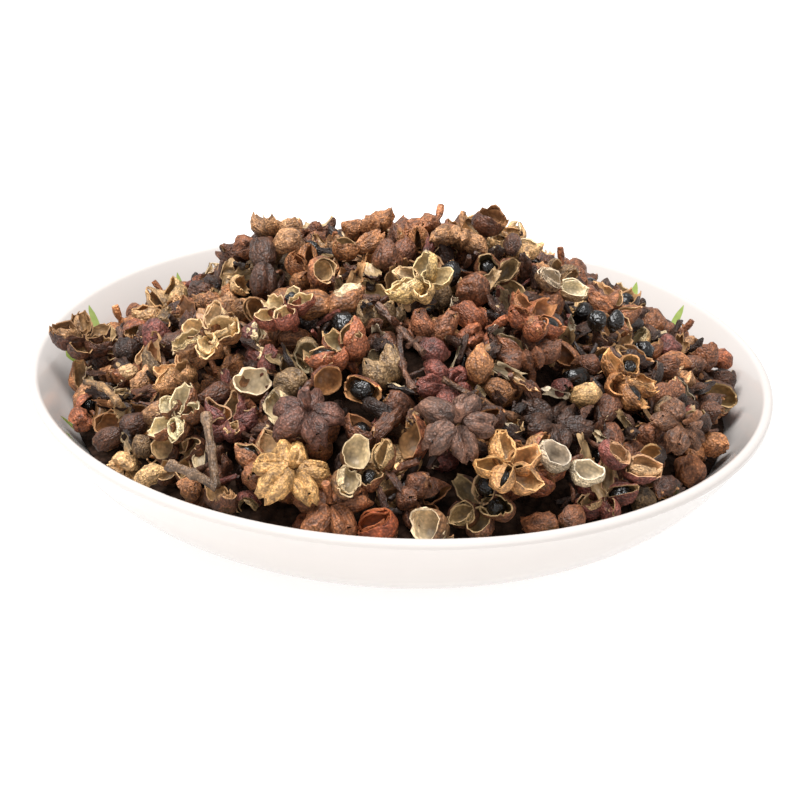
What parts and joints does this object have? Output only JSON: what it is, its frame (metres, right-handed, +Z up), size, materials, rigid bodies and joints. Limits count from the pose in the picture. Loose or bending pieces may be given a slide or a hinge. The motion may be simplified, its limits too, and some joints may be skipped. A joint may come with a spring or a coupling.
{
  "type": "dish of dried evodia fruit",
  "caption": "Round white porcelain dish heaped with dried evodia fruit: brown five-lobed capsules, berries, empty husks, black seeds and short stalks.",
  "frame": {"origin": "centre of the dish's foot ring, on the surface that the dish stands on", "axes": "+Z up through the middle of the dish, -Y towards the side that is usually seen"},
  "size_m": [0.15, 0.15, 0.0576],
  "materials": {
    "white_glazed_porcelain": "glossy white glaze",
    "dried_evodia_fruit": "matte dry husk, mottled brown"
  },
  "bodies": {
    "root": {"dish": "white_glazed_porcelain", "evodia_heap": "dried_evodia_fruit"}
  },
  "joints": []
}
